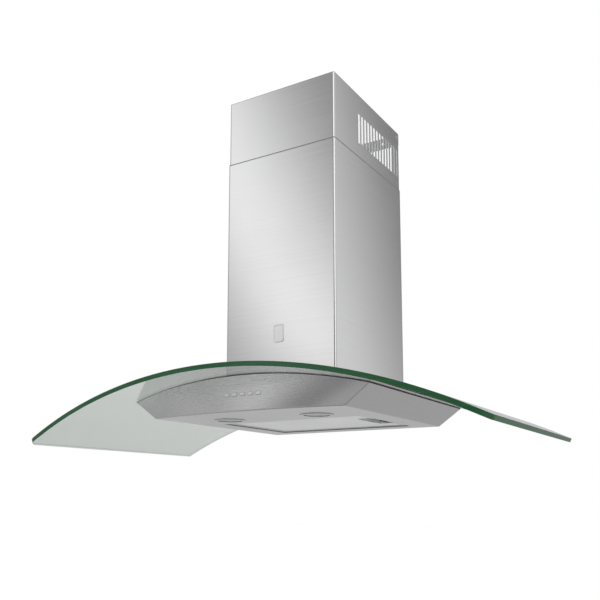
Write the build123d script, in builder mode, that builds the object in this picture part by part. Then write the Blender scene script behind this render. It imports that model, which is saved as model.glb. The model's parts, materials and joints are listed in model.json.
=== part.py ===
"""Wall-mounted chimney hood with an arched glass canopy.

Millimetres. +X right, +Y towards the wall, +Z up. The wall is the plane Y = 0 and the hood stands out
towards -Y. The origin is midway between the two holes that the hood hangs from.
Heights are worked out from the hood's underside with above().
"""

from build123d import *
import os
from math import atan2, cos, degrees, radians, sin, sqrt

os.makedirs("parts", exist_ok=True)

# ---------------------------------------------------------------- driving dimensions

hang_height = 310.0  # hanging holes above the underside
hang_spacing = 150.0
hang_hole_r = 5.0

glass_width = 900.0
glass_depth = 499.0  # at the middle of the bowed front edge
glass_bow = 22.6  # how far the front edge bulges between its corners
glass_t = 8.0
arch_sag = 106.25  # crown above the tips
tip_drop = 43.5  # the tips hang below the hood's underside
glass_corner_r = 14.0
notch_half = 110.0  # the blower box stands in this notch
notch_depth = 272.0
notch_corner_r = 18.0

body_sheet = 1.0
bottom_half = 194.5
top_half = 241.0
bottom_corner_y = -405.0
top_corner_y = -408.0
bottom_bow = 21.0
top_bow = 15.6
gasket_t = 1.3
gasket_width = 13.0
gasket_inset = 0.6  # in from the body's outline
fold_r = 2.0
plate_t = 1.2  # arched top plate of the body

chimney_width = 240.0
chimney_depth = 294.0
chimney_sheet = 0.8
chimney_bend_r = 3.5
chimney_flange = 14.0
chimney_gap = 0.35  # between the sliding sections
chimney_foot_gap = 0.3  # above the glass
seam_height = 511.5  # top of the lower section, above the underside
edge_strip_t = 1.2  # soft strip on the lower section's top edge
chimney_height = 641.5
upper_length = 400.0
vent_count = 14
vent_width = 6.8
vent_height = 61.0
vent_corner_r = 1.0
vent_top = 39.0  # from the top edge down to the slots
vent_first_y = -191.5
vent_last_y = -16.5

box_half = 98.0
box_front = -262.0
box_back = -2.0
box_bottom = 48.0
box_top = 285.0
box_sheet = 0.8

duct_r = 75.0
collar_wall = 1.5
collar_y = -149.0
collar_height = 45.0
flap_t = 1.2
pin_r = 1.5
pin_clearance = 0.05
pin_spread = 3.0  # each flap turns on a pin of its own, this far from the collar's middle

fan_y = -118.0
fan_height = 148.0
fan_r = 72.0
fan_width = 120.0
blade_count = 36
shaft_r = 4.0
shaft_clearance = 0.06
scroll_start_r = 80.0
scroll_end_r = 104.0
scroll_half = 74.0
scroll_wall = 1.2
inlet_r = 57.0
motor_r = 42.0

filter_half = 148.0
filter_front = -258.0
filter_back = -40.0
filter_bottom = 1.5
filter_t = 9.0
filter_rim = 10.0
filter_gap = 1.2

lamp_x = 93.0
lamp_y = -315.0
lamp_hole_r = 27.0

button_names = ("power", "light", "speed_low", "speed_medium", "speed_high")
button_pitch = 15.65
button_row_x = 13.0  # middle of the row
button_height = 28.9
button_width = 10.8
button_tall = 5.4
button_gap = 0.35

# ---------------------------------------------------------------- values worked out from them

under_z = -hang_height
arch_r = ((glass_width / 2) ** 2 + arch_sag**2) / (2 * arch_sag)  # underside of the glass
crown_z = under_z - tip_drop + arch_sag
arch_z = crown_z - arch_r  # the arch's axis runs along Y at this height
seam_z = under_z + seam_height
top_z = under_z + chimney_height
flare_height = arch_z + sqrt(arch_r**2 - top_half**2) - under_z  # body height at its widest
side_flare = (top_half - bottom_half) / flare_height
front_lean = (top_corner_y - bottom_corner_y) / flare_height
crown_height = crown_z - under_z
nose_lean = (top_corner_y - top_bow - bottom_corner_y + bottom_bow) / crown_height
fan_z = under_z + fan_height


def above(height):
    """Height in the model of a point given above the hood's underside."""
    return under_z + height


def arch_height(x, radius):
    """Height of an arched surface of this radius at x."""
    return arch_z + sqrt(radius**2 - x**2)


def save(piece, name):
    """Labels a finished piece and writes its file."""
    piece.part.label = name
    export_step(piece.part, f"parts/{name}.step")
    print(f"{name}: {len(piece.part.solids())} solid(s), {piece.part.volume / 1000:.1f} cm3")


def bowed_outline(half, corner_y, nose_y, back_y):
    """A plan outline in the active line: straight back and sides, bowed front."""
    Polyline((-half, corner_y), (-half, back_y), (half, back_y), (half, corner_y))
    ThreePointArc((half, corner_y), (0, nose_y), (-half, corner_y))


def body_plan(height, inset):
    """The hood body's plan outline at a height above the underside, moved in by a wall."""
    half = bottom_half + side_flare * height - inset * sqrt(1 + side_flare**2)
    corner = bottom_corner_y + front_lean * height + inset
    nose = bottom_corner_y - bottom_bow + nose_lean * height + inset
    bowed_outline(half, corner, nose, -inset)


def arch_disc(radius):
    """A full cylinder of the arch's radius, to cut with, made outside any builder."""
    start_y = 20.0  # behind the wall plane
    axis_plane = Plane(origin=(0, start_y, arch_z), x_dir=(1, 0, 0), z_dir=(0, -1, 0))
    return extrude(axis_plane * Circle(radius), amount=glass_depth + 4 * start_y)


below_glass = arch_disc(arch_r)
below_gasket = arch_disc(arch_r - gasket_t)
below_plate = arch_disc(arch_r - gasket_t - plate_t)
below_chimney = arch_disc(arch_r + glass_t + chimney_foot_gap)

# ---------------------------------------------------------------- glass canopy

plan_z = under_z - tip_drop - 10
plan_height = arch_sag + glass_t + 30

with BuildPart() as glass_canopy:
    with BuildSketch(Plane.XZ):
        with Locations((0, arch_z)):
            Circle(arch_r + glass_t)
            Circle(arch_r, mode=Mode.SUBTRACT)
    extrude(amount=glass_depth + 10)
    with BuildSketch(Plane.XY.offset(plan_z)):
        with BuildLine():
            bowed_outline(glass_width / 2, glass_bow - glass_depth, -glass_depth, 0)
        make_face()
        front_corners = vertices().group_by(Axis.Y)[0]
        fillet(front_corners, glass_corner_r)
    extrude(amount=plan_height, mode=Mode.INTERSECT)
    with BuildSketch(Plane.XY.offset(plan_z)):
        with Locations((0, -notch_depth / 2)):
            Rectangle(2 * notch_half, notch_depth)
        fillet(vertices().group_by(Axis.Y)[0], notch_corner_r)
    extrude(amount=plan_height, mode=Mode.SUBTRACT)
save(glass_canopy, "glass_canopy")

# ---------------------------------------------------------------- gasket and glass clamps

with BuildPart() as glass_gasket:
    with BuildSketch(Plane.XY.offset(above(0))):
        with BuildLine():
            body_plan(flare_height, gasket_inset)
        make_face()
        with BuildLine():
            body_plan(flare_height, gasket_width)
        make_face(mode=Mode.SUBTRACT)
        with Locations((0, -gasket_width / 2)):
            Rectangle(2 * notch_half, gasket_width + 2, mode=Mode.SUBTRACT)
    extrude(amount=plan_height)
    add(below_glass, mode=Mode.INTERSECT)
    add(below_gasket, mode=Mode.SUBTRACT)
save(glass_gasket, "glass_gasket")

glass_top_r = arch_r + glass_t
pad_t = 1.5
clamp_t = 3.0
clamp_inner = 100.0
clamp_outer = 117.0
clamp_front = -235.0
clamp_back = -25.0
clamp_screw_x = 104.5
clamp_screw_ys = (-45.0, -130.0, -215.0)
clamp_screw_r = 2.5
clamp_hole_r = 3.0
pad_gap = 0.5  # between a pad and the notch
clamp_screws_at = [(side * clamp_screw_x, y) for side in (-1, 1) for y in clamp_screw_ys]


def arched_bar(inner_r, thickness, start_x, end_x):
    """Section of a bar that follows the arch from start_x to end_x, in the active sketch on Plane.XZ."""
    with Locations((0, arch_z)):
        Circle(inner_r + thickness)
        Circle(inner_r, mode=Mode.SUBTRACT)
    with Locations(((start_x + end_x) / 2, crown_z)):
        Rectangle(abs(end_x - start_x), 100, mode=Mode.INTERSECT)


for side_name, side in (("left", -1), ("right", 1)):
    with BuildPart() as glass_clamp:
        with BuildSketch(Plane.XZ.offset(-clamp_back)):
            arched_bar(glass_top_r + pad_t, clamp_t, side * clamp_inner, side * clamp_outer)
        extrude(amount=clamp_back - clamp_front)
        with BuildSketch(Plane.XY.offset(above(0))):
            with Locations(*clamp_screws_at):
                Circle(clamp_hole_r)
        extrude(amount=plan_height, mode=Mode.SUBTRACT)
    save(glass_clamp, f"glass_clamp_{side_name}")

with BuildPart() as clamp_pads:
    for side in (-1, 1):
        with BuildSketch(Plane.XZ.offset(-clamp_back)):
            arched_bar(glass_top_r, pad_t, side * (notch_half + pad_gap), side * clamp_outer)
        extrude(amount=clamp_back - clamp_front)
save(clamp_pads, "clamp_pads")

clamp_top_z = arch_height(clamp_screw_x, glass_top_r + pad_t + clamp_t)
head_r = 4.5
head_t = 3.5
head_edge_r = 1.2
socket_r = 2.0
socket_depth = 2.0
head_seat_z = clamp_top_z + head_r * clamp_screw_x / arch_r + 0.1  # the bar slopes under the head
nut_t = 4.0
nut_r = 4.6
thread_clearance = 0.03
nut_top_z = above(box_bottom) - 0.05
screw_end_z = nut_top_z - nut_t - 1.0
screw_overlap = 0.2  # the shank runs on into the head

with BuildPart() as clamp_screws:
    for x, y in clamp_screws_at:
        with BuildSketch(Plane.XY.offset(head_seat_z)):
            with Locations((x, y)):
                Circle(head_r)
        extrude(amount=head_t)
        fillet(edges(Select.LAST).filter_by(GeomType.CIRCLE).sort_by(Axis.Z)[-1], head_edge_r)
        with BuildSketch(Plane.XY.offset(head_seat_z + head_t)):
            with Locations((x, y)):
                RegularPolygon(socket_r, 6)
        extrude(amount=-socket_depth, mode=Mode.SUBTRACT)
        with BuildSketch(Plane.XY.offset(screw_end_z)):
            with Locations((x, y)):
                Circle(clamp_screw_r)
        extrude(amount=head_seat_z + screw_overlap - screw_end_z)
save(clamp_screws, "clamp_screws")

with BuildPart() as clamp_nuts:
    for x, y in clamp_screws_at:
        with BuildSketch(Plane.XY.offset(nut_top_z)):
            with Locations((x, y)):
                RegularPolygon(nut_r, 6)
                Circle(clamp_screw_r + thread_clearance, mode=Mode.SUBTRACT)
        extrude(amount=-nut_t)
save(clamp_nuts, "clamp_nuts")

# ---------------------------------------------------------------- hood body

loft_top = 2 * flare_height
back_wall_cut = 5.0  # cutters run this far through a wall
security_hole_x = 150.0
security_hole_height = 30.0
security_hole_r = 3.0


def body_slice(height, inset):
    """The hood body's plan at a height above the underside, as a face of its own."""
    with BuildSketch(Plane.XY.offset(above(height))) as plan:
        with BuildLine():
            body_plan(height, inset)
        make_face()
    return plan.sketch


with BuildPart() as body_hollow:
    loft([body_slice(body_sheet, body_sheet), body_slice(loft_top, body_sheet)], ruled=True)

face_y = bottom_corner_y - bottom_bow + nose_lean * button_height
bottom_bow_r = (bottom_half**2 + bottom_bow**2) / (2 * bottom_bow)


def front_face_y(x):
    """How far out the bowed front stands at x, at the height of the buttons."""
    return face_y + x**2 / (2 * bottom_bow_r)


behind_front = 380.0  # a distance from the wall that is inside the body, behind its front
button_middle = (len(button_names) - 1) / 2
button_xs = [button_row_x + (i - button_middle) * button_pitch for i in range(len(button_names))]

with BuildPart() as hood_shell:
    loft([body_slice(0, 0), body_slice(loft_top, 0)], ruled=True)
    add(below_gasket, mode=Mode.INTERSECT)
    upright = edges().filter_by(lambda e: abs(e.center().X) > bottom_half - 1 and e.center().Y < -390)
    upright_bends = upright.filter_by(lambda e: 20 < e.length < 100)
    fillet(upright_bends, fold_r)
    under_edges = faces().sort_by(Axis.Z)[0].edges()
    fillet(under_edges.filter_by(lambda e: e.center().Y < -10), fold_r)
    add(body_hollow.part, mode=Mode.SUBTRACT)
    with BuildSketch(Plane.XY.offset(above(0))):
        with Locations((0, (filter_front + filter_back) / 2)):
            Rectangle(2 * (filter_half + filter_gap), filter_back - filter_front + 2 * filter_gap)
        with Locations((-lamp_x, lamp_y), (lamp_x, lamp_y)):
            Circle(lamp_hole_r)
    extrude(amount=2 * fold_r, both=True, mode=Mode.SUBTRACT)
    with BuildSketch(Plane.XZ.offset(behind_front)):
        with Locations(*[(x, above(button_height)) for x in button_xs]):
            SlotOverall(button_width + 2 * button_gap, button_tall + 2 * button_gap)
    extrude(amount=glass_depth - behind_front, mode=Mode.SUBTRACT)
    with BuildSketch(Plane.XZ.offset(-1)):
        with Locations((0, above(security_hole_height))):
            with GridLocations(2 * security_hole_x, 1, 2, 1):
                Circle(security_hole_r)
    extrude(amount=back_wall_cut, mode=Mode.SUBTRACT)
save(hood_shell, "hood_shell")

# ---------------------------------------------------------------- top plate of the body

plate_gap = 0.3
box_opening_gap = 0.6  # round the blower box

with BuildPart() as hood_top_plate:
    loft([body_slice(0, body_sheet + plate_gap), body_slice(loft_top, body_sheet + plate_gap)], ruled=True)
    add(below_gasket, mode=Mode.INTERSECT)
    add(below_plate, mode=Mode.SUBTRACT)
    with BuildSketch(Plane.XY.offset(above(0))):
        with Locations((0, (box_front + box_back) / 2)):
            Rectangle(2 * (box_half + box_opening_gap), box_back - box_front + 2 * box_opening_gap)
        with Locations(*clamp_screws_at):
            Circle(clamp_hole_r)
    extrude(amount=plan_height, mode=Mode.SUBTRACT)
save(hood_top_plate, "hood_top_plate")

# ---------------------------------------------------------------- chimney


def channel(width, front_y, back_y, flange):
    """A U-shaped section, open at the wall, in the active sketch."""
    depth = back_y - front_y
    middle = (front_y + back_y) / 2
    with Locations((0, middle)):
        RectangleRounded(width, depth, chimney_bend_r)
        RectangleRounded(
            width - 2 * chimney_sheet,
            depth - 2 * chimney_sheet,
            chimney_bend_r - chimney_sheet,
            mode=Mode.SUBTRACT,
        )
    with Locations((0, back_y)):
        Rectangle(width - 2 * flange, 4 * chimney_sheet, mode=Mode.SUBTRACT)


with BuildPart() as lower_chimney:
    with BuildSketch(Plane.XY.offset(above(0))):
        channel(chimney_width, -chimney_depth, 0, chimney_flange)
    extrude(amount=seam_height)
    add(below_chimney, mode=Mode.SUBTRACT)
save(lower_chimney, "lower_chimney")

with BuildPart() as chimney_edge_strip:
    with BuildSketch(Plane.XY.offset(seam_z)):
        channel(chimney_width, -chimney_depth, 0, chimney_flange)
    extrude(amount=edge_strip_t)
save(chimney_edge_strip, "chimney_edge_strip")

step_in = chimney_sheet + chimney_gap
upper_half = chimney_width / 2 - step_in
bracket_height = 24.5
bracket_t = 1.5
bracket_gap = 0.15  # inside the upper section
side_screw_y = -11.0
side_screw_drop = 11.0
side_screw_r = 2.0
side_hole_gap = 0.3
side_head_r = 3.6
side_head_t = 0.9
side_head_edge_r = 0.6
side_screw_length = 7.0
cross_length = 4.2
cross_width = 0.9
cross_depth = 0.6

with BuildPart() as upper_chimney:
    with BuildSketch(Plane.XY.offset(top_z - upper_length)):
        channel(2 * upper_half, step_in - chimney_depth, -step_in, chimney_flange)
    extrude(amount=upper_length)
    # the back flanges stop below the wall bracket
    with BuildSketch(Plane.XZ):
        with Locations((0, top_z)):
            Rectangle(2 * (upper_half - chimney_sheet), 2 * (bracket_height + bracket_t))
    extrude(amount=step_in + chimney_bend_r, mode=Mode.SUBTRACT)
    vent_pitch = (vent_last_y - vent_first_y) / (vent_count - 1)
    vent_ys = [vent_first_y + i * vent_pitch for i in range(vent_count)]
    with BuildSketch(Plane.YZ):
        with Locations(*[(y, top_z - vent_top - vent_height / 2) for y in vent_ys]):
            RectangleRounded(vent_width, vent_height, vent_corner_r)
        with Locations((side_screw_y, top_z - side_screw_drop)):
            Circle(side_screw_r + side_hole_gap)
    extrude(amount=chimney_width, both=True, mode=Mode.SUBTRACT)
save(upper_chimney, "upper_chimney")

bracket_half = upper_half - chimney_sheet - bracket_gap
bracket_arm = 22.0
bracket_hole_spacing = 160.0
bracket_hole_r = 3.0

with BuildPart() as wall_bracket:
    with BuildSketch(Plane.XY.offset(top_z - bracket_height)):
        with Locations((0, -bracket_arm / 2)):
            Rectangle(2 * bracket_half, bracket_arm)
        with Locations((0, -bracket_arm / 2 - bracket_t)):
            Rectangle(2 * (bracket_half - bracket_t), bracket_arm, mode=Mode.SUBTRACT)
    extrude(amount=bracket_height)
    with BuildSketch(Plane.XZ.offset(-1)):
        with Locations((0, top_z - bracket_height / 2)):
            with GridLocations(bracket_hole_spacing, 1, 2, 1):
                Circle(bracket_hole_r)
    extrude(amount=4, mode=Mode.SUBTRACT)
    with BuildSketch(Plane.YZ):
        with Locations((side_screw_y, top_z - side_screw_drop)):
            Circle(side_screw_r + thread_clearance)
    extrude(amount=chimney_width, both=True, mode=Mode.SUBTRACT)
save(wall_bracket, "wall_bracket")

with BuildPart() as chimney_side_screws:
    for side in (-1, 1):
        start = Plane(origin=(side * upper_half, side_screw_y, top_z - side_screw_drop), z_dir=(side, 0, 0))
        with BuildSketch(start):
            Circle(side_head_r)
        extrude(amount=side_head_t)
        outer_edge = edges(Select.LAST).filter_by(GeomType.CIRCLE).sort_by(Axis.X)[-1 if side > 0 else 0]
        fillet(outer_edge, side_head_edge_r)
        with BuildSketch(start):
            Circle(side_screw_r)
        extrude(amount=-side_screw_length)
        with BuildSketch(start.offset(side_head_t)):
            Rectangle(cross_length, cross_width)
            Rectangle(cross_width, cross_length)
        extrude(amount=-cross_depth, mode=Mode.SUBTRACT)
save(chimney_side_screws, "chimney_side_screws")

clip_bottom = 100.0
clip_height = 25.0
clip_width = 34.0
clip_t = 1.0
clip_x = 99.0
clip_y = -1.5

with BuildPart() as chimney_clips:
    for side in (-1, 1):
        with BuildSketch(Plane.XY.offset(above(clip_bottom))):
            with Locations((side * clip_x, clip_y)):
                Rectangle(clip_width, clip_t)
        extrude(amount=clip_height)
save(chimney_clips, "chimney_clips")

badge_width = 22.0
badge_tall = 34.0
badge_height = 158.5
badge_t = 0.9
badge_corner_r = 5.0
badge_edge_r = 0.5
badge_border = 2.0
badge_sunk = 0.3

with BuildPart() as badge:
    with BuildSketch(Plane.XZ.offset(chimney_depth)):
        with Locations((0, above(badge_height))):
            RectangleRounded(badge_width, badge_tall, badge_corner_r)
    extrude(amount=badge_t)
    fillet(faces().sort_by(Axis.Y)[0].edges(), badge_edge_r)
    with BuildSketch(Plane.XZ.offset(chimney_depth + badge_t)):
        with Locations((0, above(badge_height))):
            RectangleRounded(
                badge_width - 2 * badge_border,
                badge_tall - 2 * badge_border,
                badge_corner_r - badge_border,
            )
    extrude(amount=-badge_sunk, mode=Mode.SUBTRACT)
save(badge, "badge")

# ---------------------------------------------------------------- blower box and hanging plate

gland_x = 78.0
gland_y = -243.0
gland_r = 8.0
gland_nut_r = 11.0
gland_nut_t = 5.0
gland_dome = 9.0
gland_dome_r = 2.5
gland_thread = 8.0
gland_thread_gap = 0.1
cord_hole_r = 3.5
box_flange = 13.0
box_flange_short = 20.0  # the flanges are this much shorter than the box
outlet_gap = 0.5

with BuildPart() as blower_box:
    middle_y = (box_front + box_back) / 2
    box_depth = box_back - box_front
    with BuildSketch(Plane.XY.offset(above(box_bottom))):
        with Locations((0, middle_y)):
            Rectangle(2 * box_half, box_depth)
    extrude(amount=box_top - box_bottom)
    with BuildSketch(Plane.XY.offset(above(box_bottom))):
        with Locations((0, middle_y)):
            Rectangle(2 * (box_half - box_sheet), box_depth - 2 * box_sheet)
    extrude(amount=box_top - box_bottom - box_sheet, mode=Mode.SUBTRACT)
    # side flanges that carry the box under the top plate
    for side in (-1, 1):
        with BuildSketch(Plane.XY.offset(above(box_bottom))):
            with Locations((side * (box_half + box_flange / 2), middle_y)):
                Rectangle(box_flange, box_depth - box_flange_short)
        extrude(amount=box_sheet)
    with BuildSketch(Plane.XY.offset(above(box_bottom))):
        with Locations(*clamp_screws_at):
            Circle(clamp_hole_r)
    extrude(amount=2 * box_sheet, both=True, mode=Mode.SUBTRACT)
    with BuildSketch(Plane.XY.offset(above(box_top - box_sheet))):
        with Locations((0, collar_y)):
            Circle(duct_r - collar_wall - outlet_gap)
        with Locations((gland_x, gland_y)):
            Circle(gland_r)
    extrude(amount=2 * box_sheet, mode=Mode.SUBTRACT)
save(blower_box, "blower_box")

hang_plate_half = 95.0
hang_plate_bottom = 245.0
hang_plate_top = 330.0
hang_plate_t = 2.0
hang_plate_corner_r = 8.0

with BuildPart() as hanging_plate:
    with BuildSketch(Plane.XZ):
        with Locations((0, above((hang_plate_bottom + hang_plate_top) / 2))):
            RectangleRounded(2 * hang_plate_half, hang_plate_top - hang_plate_bottom, hang_plate_corner_r)
        with Locations((-hang_spacing / 2, 0), (hang_spacing / 2, 0)):
            Circle(hang_hole_r, mode=Mode.SUBTRACT)
    extrude(amount=hang_plate_t)
save(hanging_plate, "hanging_plate")

with BuildPart() as cable_gland:
    with BuildSketch(Plane.XY.offset(above(box_top))):
        with Locations((gland_x, gland_y)):
            RegularPolygon(gland_nut_r, 6)
    extrude(amount=gland_nut_t)
    with BuildSketch(Plane.XY.offset(above(box_top + gland_nut_t))):
        with Locations((gland_x, gland_y)):
            Circle(gland_r)
    extrude(amount=gland_dome)
    fillet(edges().sort_by(Axis.Z)[-1], gland_dome_r)
    with BuildSketch(Plane.XY.offset(above(box_top))):
        with Locations((gland_x, gland_y)):
            Circle(gland_r - gland_thread_gap)
    extrude(amount=-gland_thread)
    with BuildSketch(Plane.XY.offset(above(box_top))):
        with Locations((gland_x, gland_y)):
            Circle(cord_hole_r)
    extrude(amount=2 * (gland_nut_t + gland_dome), both=True, mode=Mode.SUBTRACT)
save(cable_gland, "cable_gland")

# ---------------------------------------------------------------- fan: scroll, wheel, motor

tongue_y = collar_y + scroll_half - fan_y  # from the fan's axis to the scroll's tongue
tongue_angle = degrees(atan2(sqrt(scroll_start_r**2 - tongue_y**2), tongue_y))
scroll_turn = tongue_angle + 180.0
scroll_steps = 8
scroll_top_gap = 0.2  # under the box's top


def scroll_outline(shrink):
    """The scroll's side view in the active line, its wall moved in by shrink. Local X is Y, local Y is Z."""
    points = []
    for i in range(scroll_steps + 1):
        turned = i / scroll_steps
        angle = radians(tongue_angle - turned * scroll_turn)
        radius = scroll_start_r + turned * (scroll_end_r - scroll_start_r) - shrink
        points.append((fan_y + radius * cos(angle), fan_z + radius * sin(angle)))
    top = above(box_top - box_sheet) - scroll_top_gap
    spiral = Spline(*points)
    Polyline(spiral @ 1, ((spiral @ 1).X, top), ((spiral @ 0).X, top), spiral @ 0)


with BuildPart() as volute_housing:
    with BuildSketch(Plane.YZ.offset(-scroll_half)):
        with BuildLine():
            scroll_outline(0)
        make_face()
    extrude(amount=2 * scroll_half)
    with BuildSketch(Plane.YZ.offset(-scroll_half + scroll_wall)):
        with BuildLine():
            scroll_outline(scroll_wall)
        make_face()
    extrude(amount=2 * (scroll_half - scroll_wall), mode=Mode.SUBTRACT)
    with BuildSketch(Plane.YZ.offset(-scroll_half)):
        with Locations((fan_y, fan_z)):
            Circle(inlet_r)
    extrude(amount=2 * scroll_half, mode=Mode.SUBTRACT)
save(volute_housing, "volute_housing")

ring_width = 12.0
ring_lip = 1.0  # the ring's hole is this much smaller than the scroll's
ring_t = 4.0
ring_mouth_r = 3.0

with BuildPart() as inlet_ring:
    with BuildSketch(Plane.YZ.offset(scroll_half)):
        with Locations((fan_y, fan_z)):
            Circle(inlet_r + ring_width)
            Circle(inlet_r - ring_lip, mode=Mode.SUBTRACT)
    extrude(amount=ring_t)
    mouth_edge = edges().filter_by(GeomType.CIRCLE).group_by(Axis.X)[-1].sort_by(SortBy.RADIUS)[0]
    fillet(mouth_edge, ring_mouth_r)
save(inlet_ring, "inlet_ring")

blade_ring_r = fan_r - 6.5
blade_depth = 12.0
blade_t = 1.2
blade_tilt = 38.0
end_ring_t = 2.0
end_ring_width = 11.0
back_disc_at = 2.0  # from the wheel's middle
back_disc_r = 71.0
back_disc_t = 2.0
hub_start = -4.0
hub_r = 13.0
hub_length = 22.0
fan_plane = Plane(origin=(0, fan_y, fan_z), x_dir=(0, 1, 0), z_dir=(1, 0, 0))

with BuildPart() as blower_wheel:
    with BuildSketch(fan_plane.offset(-fan_width / 2)):
        with PolarLocations(blade_ring_r, blade_count):
            Rectangle(blade_depth, blade_t, rotation=blade_tilt)
    extrude(amount=fan_width)
    for offset_x in (-fan_width / 2, fan_width / 2 - end_ring_t):
        with BuildSketch(fan_plane.offset(offset_x)):
            Circle(fan_r)
            Circle(fan_r - end_ring_width, mode=Mode.SUBTRACT)
        extrude(amount=end_ring_t)
    with BuildSketch(fan_plane.offset(back_disc_at)):
        Circle(back_disc_r)
    extrude(amount=back_disc_t)
    with BuildSketch(fan_plane.offset(hub_start)):
        Circle(hub_r)
    extrude(amount=hub_length)
    with BuildSketch(fan_plane):
        Circle(shaft_r)
    extrude(amount=2 * hub_length, both=True, mode=Mode.SUBTRACT)
save(blower_wheel, "blower_wheel")

motor_back = -scroll_half
motor_front = -12.0
motor_boss_r = 11.0
motor_boss_t = 4.0
motor_edge_r = 4.0
shaft_back = motor_back + 6.0
shaft_front = 20.0
shaft_chamfer = 0.5
shaft_end_gap = 1.0

with BuildPart() as motor_shaft:
    with BuildSketch(fan_plane.offset(shaft_back)):
        Circle(shaft_r)
    extrude(amount=shaft_front - shaft_back)
    chamfer(edges().filter_by(GeomType.CIRCLE), shaft_chamfer)
save(motor_shaft, "motor_shaft")

with BuildPart() as motor:
    with BuildSketch(fan_plane.offset(motor_back)):
        Circle(motor_r)
    extrude(amount=motor_front - motor_boss_t - motor_back)
    fillet(edges().filter_by(GeomType.CIRCLE), motor_edge_r)
    with BuildSketch(fan_plane.offset(motor_front)):
        Circle(motor_boss_r)
    extrude(amount=-2 * motor_boss_t)
    with BuildSketch(fan_plane.offset(shaft_back - shaft_end_gap)):
        Circle(shaft_r + shaft_clearance)
    extrude(amount=motor_front - motor_back, mode=Mode.SUBTRACT)
save(motor, "motor")

bracket_plate_t = 1.8
bracket_plate_r = 28.0
arm_count = 3
arm_width = 12.0
arm_overlap = 2.0  # each arm runs on into the plate
arm_start = bracket_plate_r - arm_overlap
arm_length = inlet_r - arm_start + 2 * arm_overlap

with BuildPart() as motor_bracket:
    with BuildSketch(fan_plane.offset(-scroll_half - bracket_plate_t)):
        Circle(inlet_r + ring_width)
        Circle(inlet_r, mode=Mode.SUBTRACT)
        Circle(bracket_plate_r)
        with PolarLocations(arm_start + arm_length / 2, arm_count, start_angle=90):
            Rectangle(arm_length, arm_width)
    extrude(amount=bracket_plate_t)
save(motor_bracket, "motor_bracket")

# ---------------------------------------------------------------- duct collar and backdraft flaps

ledge_height = box_top + 14.0
ledge_t = 1.2
ledge_width = 4.0
flap_gap = 0.3
flap_height = ledge_height + ledge_t + flap_gap
pin_rise = 1.9  # the pins lie this far above the flaps
pin_height = flap_height + flap_t + pin_rise
flap_r = duct_r - collar_wall - 1.0
collar_base_r = duct_r + 13.0
collar_base_t = 1.6
flap_edge_half = duct_r - collar_wall - ledge_width - 0.5  # between the ends of the flaps' straight edges
end_cut = 5.0
knuckle_r = 2.6
knuckle_length = 20.0
knuckle_starts = (-62.0, -10.0, 42.0)
pin_half = duct_r - 0.2  # the ends stay just inside the collar's outer face
pin_ys = [collar_y + side * pin_spread for side in (-1, 1)]

with BuildPart() as duct_collar:
    with BuildSketch(Plane.XY.offset(above(box_top))):
        with Locations((0, collar_y)):
            Circle(collar_base_r)
    extrude(amount=collar_base_t)
    with BuildSketch(Plane.XY.offset(above(box_top))):
        with Locations((0, collar_y)):
            Circle(duct_r)
    extrude(amount=collar_height)
    with BuildSketch(Plane.XY.offset(above(box_top))):
        with Locations((0, collar_y)):
            Circle(duct_r - collar_wall)
    extrude(amount=collar_height, mode=Mode.SUBTRACT)
    # the closed flaps rest just above this ledge
    with BuildSketch(Plane.XY.offset(above(ledge_height))):
        with Locations((0, collar_y)):
            Circle(duct_r - collar_wall / 2)
            Circle(duct_r - collar_wall - ledge_width, mode=Mode.SUBTRACT)
    extrude(amount=ledge_t)
    with BuildSketch(Plane.YZ):
        with Locations(*[(y, above(pin_height)) for y in pin_ys]):
            Circle(pin_r)
    extrude(amount=duct_r, both=True, mode=Mode.SUBTRACT)
save(duct_collar, "duct_collar")

with BuildPart() as damper_pins:
    with BuildSketch(Plane.YZ):
        with Locations(*[(y, above(pin_height)) for y in pin_ys]):
            Circle(pin_r)
    extrude(amount=pin_half, both=True)
save(damper_pins, "damper_pins")

for flap_name, side in (("front", -1), ("back", 1)):
    pin_y = collar_y + side * pin_spread
    with BuildPart() as flap:
        with BuildSketch(Plane.XY.offset(above(flap_height))):
            with Locations((0, collar_y)):
                Circle(flap_r)
            with Locations((0, collar_y - side * (flap_r - flap_gap))):
                Rectangle(2 * duct_r, 2 * flap_r, mode=Mode.SUBTRACT)
            # cut back at both ends, where the edge dips past the ledge as the flap turns
            with Locations((0, collar_y + side * pin_spread / 2)):
                with GridLocations(2 * (flap_edge_half + end_cut / 2), 1, 2, 1):
                    Rectangle(end_cut, pin_spread, mode=Mode.SUBTRACT)
        extrude(amount=flap_t)
        for start in knuckle_starts:
            with BuildSketch(Plane.YZ.offset(start)):
                with Locations((pin_y, above(pin_height))):
                    Circle(knuckle_r)
            extrude(amount=knuckle_length)
        with BuildSketch(Plane.YZ):
            with Locations((pin_y, above(pin_height))):
                Circle(pin_r + pin_clearance)
        extrude(amount=duct_r, both=True, mode=Mode.SUBTRACT)
    save(flap, f"damper_flap_{flap_name}")

# ---------------------------------------------------------------- control box

control_half = 62.0
control_front = -288.5
control_back = box_front
control_bottom = 110.0
control_top = 190.0
control_wall = 1.0
control_cover_t = 1.2
control_middle = (control_bottom + control_top) / 2
power_board_x = -16.0
power_board_width = 80.0
power_board_tall = 66.0
power_board_t = 1.6
power_board_spacer = 5.0  # off the blower box
relay_width = 14.0
relay_tall = 15.0
relay_depth = 12.0
relay_columns = 3
relay_rows = 2
relay_pitch_x = 20.0
relay_pitch_z = 26.0
capacitor_x = 43.0
capacitor_y = box_front - 14.0
capacitor_r = 10.5
capacitor_bottom = 122.0
capacitor_length = 55.0
capacitor_edge_r = 1.5

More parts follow.
